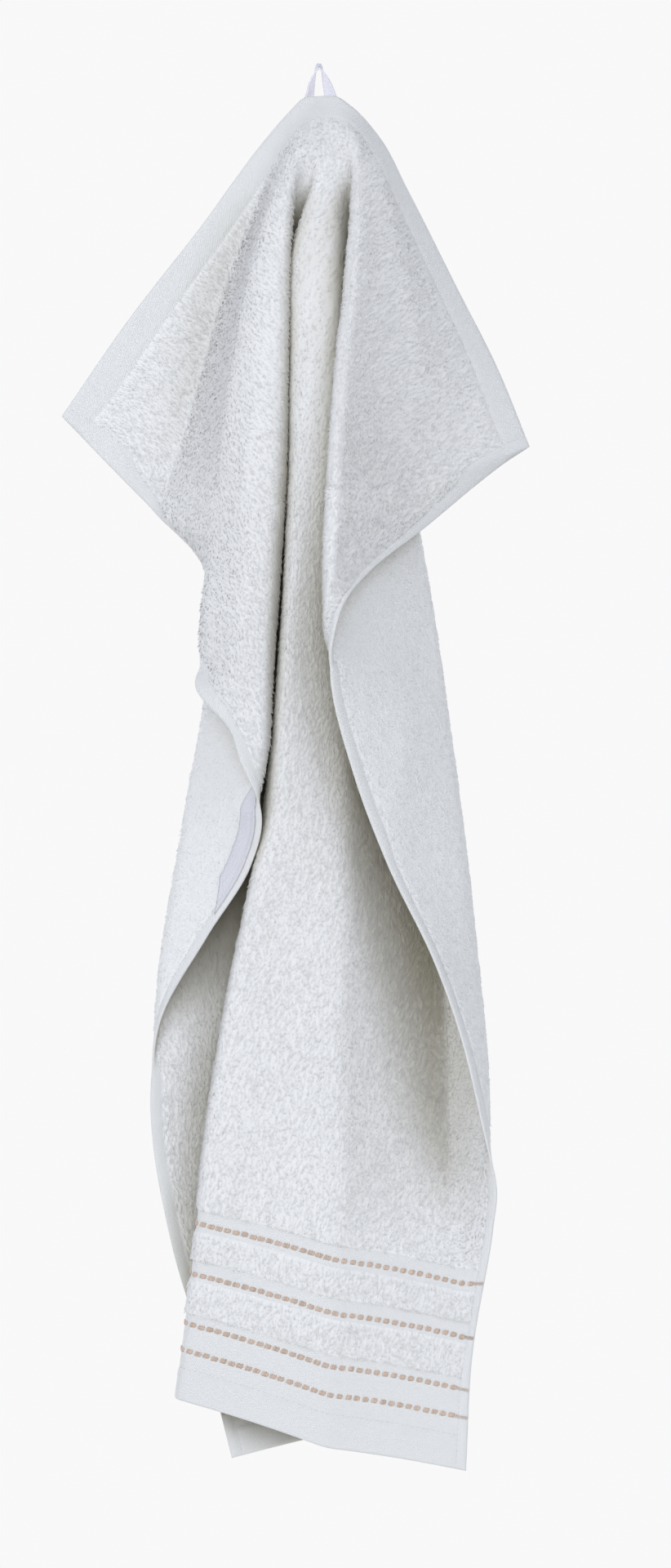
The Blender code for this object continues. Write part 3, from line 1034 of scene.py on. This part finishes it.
@dataclass
class TowelCloth:
    """The towel's own cloth: one closed sheet with its hems, bands and lumps of pile."""

    fine: FineCloth
    crease_shade: PaintedCreaseShade

    def build(self) -> bpy.types.Object:
        """Model and dress the cloth.

        Returns:
            The sheet, which stands for the towel's solid.
        """
        columns, rows = self.fine.columns, self.fine.rows
        body = bmesh.new()
        bmesh.ops.create_grid(body, x_segments=len(columns) - 1, y_segments=len(rows) - 1, size=0.5)
        corners = sorted(body.verts, key=lambda vertex: (round(vertex.co.x, 6), round(vertex.co.y, 6)))
        across, down = np.meshgrid(columns, rows, indexing="ij")
        for vertex, spot in zip(corners, zip(across.ravel(), down.ravel())):
            vertex.co = (*spot, 0.0)
        copied = bmesh.ops.duplicate(body, geom=body.verts[:] + body.edges[:] + body.faces[:])["geom"]
        reverse = [part for part in copied if isinstance(part, bmesh.types.BMVert)]
        for vertex in reverse:
            vertex.co.z = 1.0
        rims = [edge for edge in body.edges if edge.is_boundary]
        bmesh.ops.bridge_loops(body, edges=rims)
        flat = np.array([vertex.co[:] for vertex in body.verts])
        self.place(body, flat)
        bmesh.ops.recalc_face_normals(body, faces=body.faces[:])
        piece = new_piece("towel_cloth", body)
        self.dress(piece, flat)
        return piece

    def place(self, body: bmesh.types.BMesh, flat: np.ndarray) -> None:
        """Move the flat net to where the cloth hangs.

        Args:
            body: the closed flat net.
            flat: flat place of each of its points, with its layer: 0 for the front and 1 for the reverse.
        """
        across, down, layer = flat.T
        hung = np.zeros((len(flat), 3))
        for side, here in ((Side.FRONT, layer < 0.5), (Side.REVERSE, layer > 0.5)):
            hung[here] = self.fine.read(side, across[here], down[here])[0]
        for vertex, place in zip(body.verts, hung * MM):
            vertex.co = place

    def dress(self, piece: bpy.types.Object, flat: np.ndarray) -> None:
        """Give the cloth its flat map, its weaves and its painted crease shade.

        Args:
            piece: the cloth.
            flat: flat place and layer of each of its points.
        """
        mesh, layout = piece.data, self.fine.layout
        loops = np.zeros(len(mesh.loops), np.int32)
        mesh.loops.foreach_get("vertex_index", loops)
        layer = mesh.uv_layers.new(name="flat")
        layer.data.foreach_set("uv", (flat[loops, :2] * MM).ravel())
        starts = np.zeros(len(mesh.polygons), np.int32)
        mesh.polygons.foreach_get("loop_start", starts)
        totals = np.zeros(len(mesh.polygons), np.int32)
        mesh.polygons.foreach_get("loop_total", totals)
        middle = np.add.reduceat(flat[loops], starts, axis=0) / totals[:, None]
        pile = layout.pile_share(middle[:, 0], middle[:, 1], 0.01) > 0.5
        kinds = np.where(pile, np.where(middle[:, 2] < 0.5, 0, 1), 2).astype(np.int32)
        # Painted crease shade: how far the folds shut in each point of both faces.
        shade_share = [
            self.crease_shade.at(side, flat[:, 0], flat[:, 1]) * here
            for side, here in ((Side.FRONT, flat[:, 2] < 0.5), (Side.REVERSE, flat[:, 2] > 0.5))
        ]
        set_crease_shade(mesh, shade_share[0] + shade_share[1])
        materials = [finish.build() for finish in (PILE_FINISH, REVERSE_FINISH, PLAIN_FINISH)]
        finish_piece(piece, "terry_cloth", *materials)
        mesh.polygons.foreach_set("material_index", kinds)
        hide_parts("towel")


@dataclass
class Pile:
    """The pile: small tufts that stand on the cloth and lean down it."""

    fine: FineCloth
    crease_shade: PaintedCreaseShade
    side: Side
    spacing: float
    length: float
    thickness: float
    flatness: float = 0.9
    overhang: float = 1.2
    rim_gap: float = 2.0
    border_width: float = 0.7
    border_shares: tuple[float, float] = (0.25, 0.75)
    noise_sizes: tuple[float, float, float] = (5.0, 7.0, 6.0)
    sway: tuple[float, float] = (0.2, 0.24)
    lean: tuple[float, float, float] = (1.2, 0.05, 0.14)
    unevenness: tuple[float, float] = (0.12, 0.14)
    girths: tuple[float, float] = (0.8, 1.25)
    foot_depth: float = 0.25
    bare_reach: float = 14.0
    most_faces: int = 190000

    def build(self) -> list[bpy.types.Object]:
        """Model and dress the tufts.

        Returns:
            The pieces they are joined in.
        """
        random = np.random.default_rng(SEED + self.side.value)
        across, down = self.spots(random)
        place, outward, aside, onward = self.fine.read(self.side, across, down)
        foot = place - outward * self.foot_depth
        frames = self.frames(random, across, down, (outward, aside, onward))
        flat = np.column_stack([across, down])
        order = np.nonzero(np.hypot(across, down) > self.bare_reach)[0]
        count = int(np.ceil(len(order) * TUFT_FACES / self.most_faces))
        pieces = []
        for index, chosen in enumerate(np.array_split(order, count)):
            name = f"pile_{self.side.name.lower()}_{index + 1}"
            piece = joined_copies(
                name, self.tuft(), foot[chosen], frames[chosen], flat[chosen], outward[chosen]
            )
            # Painted crease shade for the tufts, from how far the folds shut in their spots.
            shade_share = self.crease_shade.at(self.side, across[chosen], down[chosen])
            set_crease_shade(piece.data, np.repeat(shade_share, len(piece.data.vertices) // len(chosen)))
            pieces.append(piece)
        return pieces

    def spots(self, random: np.random.Generator) -> tuple[np.ndarray, np.ndarray]:
        """Flat places of the tufts.

        Args:
            random: the side's own random numbers.

        Returns:
            Places across and down the towel, one in each small square of the pile bands.
        """
        cloth, layout = self.fine.layout.cloth, self.fine.layout
        half = cloth.width / 2
        across, down = np.meshgrid(
            np.arange(-half, half, self.spacing), np.arange(0, cloth.length, self.spacing), indexing="ij"
        )
        across = across.ravel() + random.uniform(0, self.spacing, across.size)
        down = down.ravel() + random.uniform(0, self.spacing, down.size)
        inside = (np.abs(across) < half - self.rim_gap) & (down < cloth.length - self.rim_gap)
        share = layout.pile_share(across, down + self.overhang, self.border_width)
        stands = share > random.uniform(*self.border_shares, across.size)
        return across[inside & stands], down[inside & stands]

    def frames(
        self,
        random: np.random.Generator,
        across: np.ndarray,
        down: np.ndarray,
        ways: tuple[np.ndarray, np.ndarray, np.ndarray],
    ) -> np.ndarray:
        """How each tuft stands.

        Args:
            random: the side's own random numbers.
            across: flat places across the towel.
            down: flat places down the towel.
            ways: directions out of the cloth, across it and down it at each place.

        Returns:
            Three columns for each tuft: its width, its thickness and its length.
        """
        outward, aside, onward = ways
        clump_noise, sway_noise, lean_noise = (
            soft_noise(across, down, size, 31 + 2 * index) for index, size in enumerate(self.noise_sizes)
        )
        sway = self.sway[0] * sway_noise + random.normal(0, self.sway[1], len(across))
        lean = self.lean[0] + self.lean[1] * lean_noise + random.normal(0, self.lean[2], len(across))
        along = onward * np.cos(sway)[:, None] + aside * np.sin(sway)[:, None]
        uneven = self.unevenness[0] * clump_noise + random.normal(0, self.unevenness[1], len(across))
        height = self.length * (1 + uneven)
        up = outward * np.cos(lean)[:, None] + along * np.sin(lean)[:, None]
        wide = unit(np.cross(up, along))
        thick = np.cross(up, wide)
        girth = self.thickness * random.uniform(*self.girths, len(across))
        flatter = thick * (girth * self.flatness)[:, None]
        return np.stack([wide * girth[:, None], flatter, up * height[:, None]], axis=2)

    @staticmethod
    def tuft() -> bmesh.types.BMesh:
        """Model one tuft.

        Returns:
            A three-sided cone with a foot.
        """
        body = bmesh.new()
        bmesh.ops.create_cone(body, cap_ends=True, segments=3, radius1=0.5, radius2=0.0, depth=1.0)
        bmesh.ops.remove_doubles(body, verts=body.verts[:], dist=1e-4)
        bmesh.ops.translate(body, verts=body.verts[:], vec=(0, 0, 0.5))
        bmesh.ops.recalc_face_normals(body, faces=body.faces[:])
        return body


@dataclass
class BeadRows:
    """The rows of beige floats across the towel's lower end."""

    fine: FineCloth
    pitch: float = 5.1
    thread: tuple[float, float, float] = (3.3, 1.7, 1.5)
    thread_pitch: float = 1.1
    thread_turn: float = 1.35
    hatch_from: float = 239.0
    stroke: tuple[float, float, float] = (2.9, 0.6, 0.5)
    stroke_pitch: float = 1.15
    stroke_turn: float = 1.25
    stroke_margins: tuple[float, float] = (2.0, 0.8)
    jitter: float = 0.12
    girths: tuple[float, float] = (0.88, 1.08)
    lift: float = 0.25
    samples: int = 400

    def build(self) -> list[bpy.types.Object]:
        """Model and dress the rows.

        Returns:
            The beads, and the fine hatch that ends their rows on both side hems.
        """
        layout = self.fine.layout
        last = layout.cloth.width / 2 - layout.side_hem
        flat = np.concatenate([self.even_row(row, -last + self.pitch / 2) for row in layout.bead_rows])
        random = np.random.default_rng(SEED)
        flat = flat + random.normal(0, self.jitter, flat.shape)
        threads = np.concatenate([flat + (step * self.thread_pitch, 0.0) for step in (-1, 0, 1)])
        beads = self.row_piece("bead_rows", threads, self.thread, random, self.thread_turn)
        start = self.hatch_from + self.stroke_margins[0]
        end = layout.cloth.width / 2 - self.stroke_margins[1]
        fine_across = np.arange(start, end, self.stroke_pitch)
        fine_flat = np.array([
            (place * side, row) for row in layout.bead_rows for place in fine_across for side in (-1, 1)
        ])
        hatch = self.row_piece("bead_row_ends", fine_flat, self.stroke, random, self.stroke_turn, detail=1)
        return [beads, hatch]

    def even_row(self, row: float, start: float) -> np.ndarray:
        """Flat places along one row.

        Args:
            row: how far down the towel the row lies.
            start: where its first bead lies across the towel.

        Returns:
            Flat places that are evenly spaced on the hung cloth.
        """
        across = np.linspace(start, self.hatch_from, self.samples)
        places = self.fine.read(Side.FRONT, across, np.full_like(across, row))[0]
        lengths = np.concatenate([[0], np.cumsum(np.linalg.norm(np.diff(places, axis=0), axis=1))])
        count = int((self.hatch_from - start) / self.pitch)
        even = np.interp(np.linspace(0, lengths[-1], count), lengths, across)
        return np.column_stack([even, np.full_like(even, row)])

    def row_piece(
        self,
        name: str,
        flat: np.ndarray,
        size: tuple[float, float, float],
        random: np.random.Generator,
        turn: float,
        detail: int = 2,
    ) -> bpy.types.Object:
        """Model beads of one size.

        Args:
            name: the piece's name.
            flat: flat place of each bead.
            size: length, width and height of a bead.
            random: the rows' own random numbers.
            turn: angle by which each bead is turned on the cloth.
            detail: how finely a bead is rounded.

        Returns:
            One piece of all the beads.
        """
        place, outward, aside, onward = self.fine.read(Side.FRONT, flat[:, 0], flat[:, 1])
        aside = unit(aside - outward * (aside * outward).sum(axis=1)[:, None])
        onward = np.cross(outward, aside)
        turned = aside * np.cos(turn) + onward * np.sin(turn)
        other = np.cross(outward, turned)
        scale = random.uniform(*self.girths, (len(flat), 3)) * np.array(size) / 2
        frames = np.stack([turned * scale[:, :1], other * scale[:, 1:2], outward * scale[:, 2:]], axis=2)
        body = bmesh.new()
        bmesh.ops.create_icosphere(body, subdivisions=detail, radius=1.0)
        return joined_copies(name, body, place + outward * self.lift, frames, flat)


@dataclass
class HemStitches:
    """The lock stitches that hold the hems down, on both faces."""

    fine: FineCloth
    pitch: float = 3.4
    length: float = 2.6
    girth: float = 0.5
    lift: float = 0.05
    first: float = 3.0
    margin: float = 2.0

    def build(self) -> bpy.types.Object:
        """Model and dress the stitches.

        Returns:
            One piece of all the stitches.
        """
        layout = self.fine.layout
        cloth = layout.cloth
        inner = cloth.width / 2 - layout.side_hem
        down = np.arange(self.first, cloth.length - self.margin, self.pitch)
        across = np.arange(-inner + self.margin, inner - self.margin, self.pitch)
        lines = [np.column_stack([np.full_like(down, side * inner), down, 0 * down]) for side in (-1, 1)]
        for row in (layout.header_hem, cloth.length - layout.end_hem):
            lines.append(np.column_stack([across, np.full_like(across, row), 0 * across + 1]))
        table = np.concatenate(lines)
        centres, frames = [], []
        for side in Side:
            place, outward, aside, onward = self.fine.read(side, table[:, 0], table[:, 1])
            along = np.where(table[:, 2:] > 0.5, aside, onward)
            along = unit(along - outward * (along * outward).sum(axis=1)[:, None])
            wide = np.cross(outward, along)
            parts = [along * self.length / 2, wide * self.girth / 2, outward * self.girth / 2]
            frames.append(np.stack(parts, axis=2))
            centres.append(place + outward * self.lift)
        flat = np.concatenate([table[:, :2], table[:, :2]])
        body = bmesh.new()
        bmesh.ops.create_icosphere(body, subdivisions=1, radius=1.0)
        return joined_copies("hem_stitches", body, np.concatenate(centres), np.concatenate(frames), flat)


LOOP_TAPE: Rows = (
    (-6.6, -1.2, -25.0, 6.5, 4, 0.0),
    (-5.9, 1.8, -19.0, 6.5, 16, 0.0),
    (-5.0, 2.5, -13.0, 6.5, 48, 0.0),
    (-4.1, 1.4, -7.6, 6.5, 60, 0.0),
    (-2.9, 0.8, -3.4, 6.3, 72, 0.2),
    (-1.9, 0.4, -0.4, 5.8, 80, 0.5),
    (-0.8, 0.1, 2.2, 5.2, 88, 0.9),
    (0.3, 0.0, 3.5, 4.8, 92, 1.1),
    (1.5, 0.1, 2.2, 5.2, 98, 0.9),
    (2.8, 0.4, -0.4, 6.0, 110, 0.5),
    (4.3, 1.2, -4.2, 6.6, 124, 0.2),
    (5.8, 2.2, -9.0, 7.0, 142, 0.0),
    (7.0, 2.8, -13.5, 7.4, 153, 0.0),
    (7.9, 1.5, -19.0, 8.0, 166, 0.0),
    (8.4, -2.2, -25.0, 8.0, 176, 0.0),
)


@dataclass
class HangingLoop:
    """The loop: one length of woven tape, folded over at its top."""

    thickness: float = 1.0
    width: float = 6.5
    crown: float = 0.12
    cuts_along: int = 90
    cuts_across: int = 6

    def build(self) -> bpy.types.Object:
        """Model and dress the tape.

        Returns:
            The tape, which stands for the loop's solid.
        """
        table = np.array(LOOP_TAPE, float)
        marks = np.concatenate([[0], np.cumsum(np.linalg.norm(np.diff(table[:, :3], axis=0), axis=1))])
        at = np.linspace(0, marks[-1], self.cuts_along + 1)
        rows = smooth_course(np.column_stack([marks, table]).tolist(), at)
        middles, widths, turns, tilts = rows[:, :3], rows[:, 3], np.radians(rows[:, 4]), rows[:, 5]
        along = unit(np.gradient(middles, axis=0))
        across = np.column_stack([np.cos(turns), np.sin(turns), tilts])
        across = unit(across - along * (across * along).sum(axis=1)[:, None])
        thick = np.cross(along, across)
        body = bmesh.new()
        bmesh.ops.create_grid(body, x_segments=self.cuts_across, y_segments=self.cuts_along, size=0.5)
        layer = body.loops.layers.uv.new("flat")
        for face in body.faces:
            for loop in face.loops:
                side, step = loop.vert.co.x + 0.5, loop.vert.co.y + 0.5
                loop[layer].uv = (side * self.width * MM, step * marks[-1] * MM)
        for vertex in body.verts:
            side, cut = vertex.co.x, round((vertex.co.y + 0.5) * self.cuts_along)
            crown = thick[cut] * self.crown * np.cos(side * np.pi)
            place = middles[cut] + across[cut] * side * widths[cut] + crown
            vertex.co = Vector(place * MM)
        piece = walled_piece("loop_tape", body, self.thickness)
        finish_piece(piece, "loop_tape", TAPE_FINISH.build())
        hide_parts("hanging_loop")
        return piece


@dataclass
class WovenLabel:
    """The blank patch of fine twill on the reverse, beside the left hem."""

    fine: FineCloth
    start: float = 367.0
    end: float = 448.0
    shares: tuple[float, float] = (0.942, 0.985)
    thickness: float = 0.7
    lift: float = 0.35
    cuts_across: int = 8
    cuts_down: int = 28

    def build(self) -> bpy.types.Object:
        """Model and dress the patch.

        Returns:
            The patch, which stands for the label's solid.
        """
        cloth = self.fine.layout.cloth
        body = bmesh.new()
        bmesh.ops.create_grid(body, x_segments=self.cuts_across, y_segments=self.cuts_down, size=0.5)
        net = np.array([vertex.co[:2] for vertex in body.verts]) + 0.5
        hem_down = self.start + (self.end - self.start) * net[:, 1]
        angle = -np.degrees(np.arctan2(cloth.width / 2, hem_down))
        share = self.shares[0] + (self.shares[1] - self.shares[0]) * net[:, 0]
        reach = cloth.ray_length(angle) * share
        across, down = reach * np.sin(np.radians(angle)), reach * np.cos(np.radians(angle))
        place, outward, _, _ = self.fine.read(Side.REVERSE, across, down)
        lifted = place + outward * (self.lift + self.thickness / 2)
        layer = body.loops.layers.uv.new("flat")
        body.verts.index_update()
        for face in body.faces:
            for loop in face.loops:
                index = loop.vert.index
                loop[layer].uv = (across[index] * MM, down[index] * MM)
        for vertex, spot in zip(body.verts, lifted * MM):
            vertex.co = spot
        piece = walled_piece("label_patch", body, self.thickness)
        finish_piece(piece, "label_weave", LABEL_FINISH.build())
        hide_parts("woven_label")
        return piece


@dataclass(frozen=True)
class Softbox:
    """A soft studio light: where it stands, where it points, its size, power and colour."""

    name: str
    place: tuple[float, float, float]
    aim: tuple[float, float, float]
    size: float
    power: float
    color: Color = DAYLIGHT

    def build(self) -> None:
        """Place the light."""
        data = bpy.data.lights.new(self.name, "AREA")
        data.size = self.size
        data.energy = self.power
        data.color = self.color
        light = linked(self.name, data)
        light.location = self.place
        direction = Vector(self.aim) - Vector(self.place)
        light.rotation_euler = direction.to_track_quat("-Z", "Y").to_euler()


@dataclass
class Studio:
    """The pale studio: backdrop light, softboxes, floor and camera."""

    view_height: float = 0.960
    view_middle: tuple[float, float] = (0.0105, -0.436)
    distance: float = 6.0
    lens_width: float = 36.0
    far: float = 50.0
    backdrop: Color = (0.94, 0.94, 0.94)
    ambient: float = 0.27
    ambient_color: Color = (0.82, 0.865, 1.0)
    floor_height: float = -1.3
    floor_radius: float = 2.5
    floor_sides: int = 96
    floor_color: Color = (0.85, 0.83, 0.79)
    softboxes: tuple[Softbox, ...] = (
        Softbox("key_light", (-2.4, -2.6, 0.7), (0, 0, -0.35), 2.6, 69.0),
        Softbox("fill_light", (2.4, -2.6, 0.5), (0, 0, -0.35), 2.6, 45.0),
        Softbox("front_light", (-0.3, -4.2, 0.7), (0, 0, -0.4), 2.6, 58.0),
        Softbox("back_light_left", (-2.6, 2.8, 0.6), (0, 0, -0.4), 2.2, 80.0),
        Softbox("back_light_right", (2.6, 2.8, 0.6), (0, 0, -0.4), 2.2, 80.0),
    )

    def build(self) -> None:
        """Set up the studio."""
        world = bpy.data.worlds.new("studio")
        world.use_nodes = True
        nodes, links = world.node_tree.nodes, world.node_tree.links
        around = nodes["Background"]
        around.inputs["Color"].default_value = (*self.ambient_color, 1)
        around.inputs["Strength"].default_value = self.ambient
        behind = nodes.new("ShaderNodeBackground")
        behind.inputs["Color"].default_value = (*self.backdrop, 1)
        rays = nodes.new("ShaderNodeLightPath")
        mix = nodes.new("ShaderNodeMixShader")
        links.new(rays.outputs["Is Camera Ray"], mix.inputs["Fac"])
        links.new(around.outputs["Background"], mix.inputs[1])
        links.new(behind.outputs["Background"], mix.inputs[2])
        links.new(mix.outputs["Shader"], nodes["World Output"].inputs["Surface"])
        bpy.context.scene.world = world
        bpy.context.scene.view_settings.view_transform = "Standard"
        for softbox in self.softboxes:
            softbox.build()
        self.floor()
        self.camera()

    def floor(self) -> None:
        """The pale floor, well below the hung towel."""
        body = bmesh.new()
        bmesh.ops.create_circle(body, cap_ends=True, segments=self.floor_sides, radius=self.floor_radius)
        bmesh.ops.translate(body, verts=body.verts[:], vec=(0, 0, self.floor_height))
        floor = new_piece("studio_floor", body, smooth=False)
        material = bpy.data.materials.new("pale_floor")
        material.use_nodes = True
        shader = material.node_tree.nodes["Principled BSDF"]
        shader.inputs["Base Color"].default_value = (*self.floor_color, 1)
        floor.data.materials.append(material)

    def camera(self) -> None:
        """The level camera with a long lens, as in the photograph."""
        data = bpy.data.cameras.new("camera")
        data.sensor_fit = "AUTO"
        data.sensor_width = self.lens_width
        data.lens = data.sensor_width * self.distance / self.view_height
        data.clip_end = self.far
        camera = linked("camera", data)
        camera.location = (self.view_middle[0], -self.distance, self.view_middle[1])
        camera.rotation_euler = (np.pi / 2, 0, 0)
        bpy.context.scene.camera = camera


def main() -> None:
    """Build the towel's pieces and the studio in order."""
    logging.basicConfig(level=logging.INFO, format="%(name)s: %(message)s")
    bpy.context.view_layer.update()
    Studio().build()
    cloth = HungCloth()
    layout = WovenLayout(cloth)
    fine = FineCloth(layout, ClothHeights(layout))
    # How far the folds shut in the cloth, for the painted crease shade.
    crease_shade = PaintedCreaseShade(fine)
    sheet = TowelCloth(fine, crease_shade).build()
    piles = (
        (Pile(fine, crease_shade, Side.FRONT, spacing=1.77, length=2.85, thickness=1.6), PILE_FINISH),
        (Pile(fine, crease_shade, Side.REVERSE, spacing=2.45, length=1.9, thickness=1.6), REVERSE_FINISH),
    )
    for pile, finish in piles:
        material = finish.build()
        for piece in pile.build():
            finish_piece(piece, "terry_cloth", material)
    bead_material = BEAD_FINISH.build()
    for piece in BeadRows(fine).build():
        finish_piece(piece, "terry_cloth", bead_material)
    stitches = HemStitches(fine).build()
    finish_piece(stitches, "terry_cloth", THREAD_FINISH.build())
    tape = HangingLoop().build()
    label = WovenLabel(fine).build()


if __name__ == "__main__":
    main()
